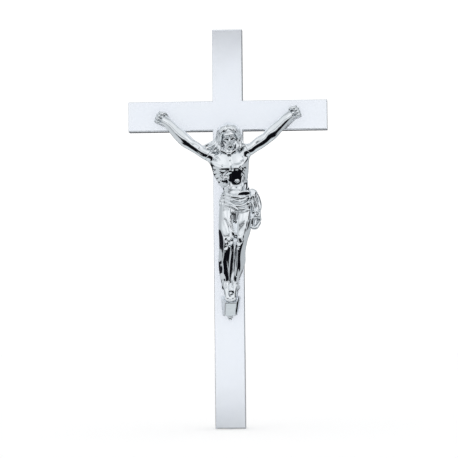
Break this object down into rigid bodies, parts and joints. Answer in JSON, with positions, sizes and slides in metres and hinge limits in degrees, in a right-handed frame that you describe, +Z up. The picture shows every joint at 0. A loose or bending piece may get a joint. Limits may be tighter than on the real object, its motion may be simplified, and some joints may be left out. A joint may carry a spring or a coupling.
{
  "type": "processional cross head with corpus",
  "caption": "Plated Latin cross head with a cast corpus, foot rest and nails, a wooden core, a back plate and a staff socket with a set screw.",
  "frame": {"origin": "centre of the staff socket's mouth, in the flat bottom of the upright", "axes": "+Z up the upright, +X to the right of someone facing the cross, and the figure looks towards -Y"},
  "size_m": [0.2, 0.0397, 0.4],
  "materials": {
    "cross_plate": "polished bright plate on flat pressed metal",
    "corpus_plate": "polished bright plate over a casting",
    "steel": "zinc-plated steel",
    "beech": "planed beech, unfinished",
    "brass": "machined brass"
  },
  "bodies": {
    "cross": {"front_casing": "cross_plate", "back_plate": "cross_plate", "corpus_body": "corpus_plate", "corpus_arm_left": "corpus_plate", "corpus_arm_right": "corpus_plate", "loincloth_knot": "corpus_plate", "foot_rest": "corpus_plate", "nail_left_hand": "corpus_plate", "nail_right_hand": "corpus_plate", "nail_feet": "corpus_plate", "back_plate_screw_1": "steel", "back_plate_screw_2": "steel", "back_plate_screw_3": "steel", "back_plate_screw_4": "steel", "back_plate_screw_5": "steel", "back_plate_screw_6": "steel", "back_plate_screw_7": "steel", "back_plate_screw_8": "steel", "socket_flange_screw_left": "steel", "socket_flange_screw_right": "steel", "lap_screw": "steel", "corpus_chest_screw": "steel", "corpus_chest_screw_washer": "steel", "corpus_hip_screw": "steel", "corpus_hip_screw_washer": "steel", "foot_rest_screw": "steel", "foot_rest_screw_washer": "steel", "shoulder_dowel_left": "steel", "shoulder_dowel_right": "steel", "upright_core": "beech", "crossbar_core": "beech", "staff_socket": "brass"},
    "set_screw": {"staff_set_screw": "steel"}
  },
  "joints": [
    {"name": "set_screw_travel", "type": "slide", "parent": "cross", "child": "set_screw", "axis": [0, 1, 0], "range_m": [-0.0025, 0.001]}
  ]
}
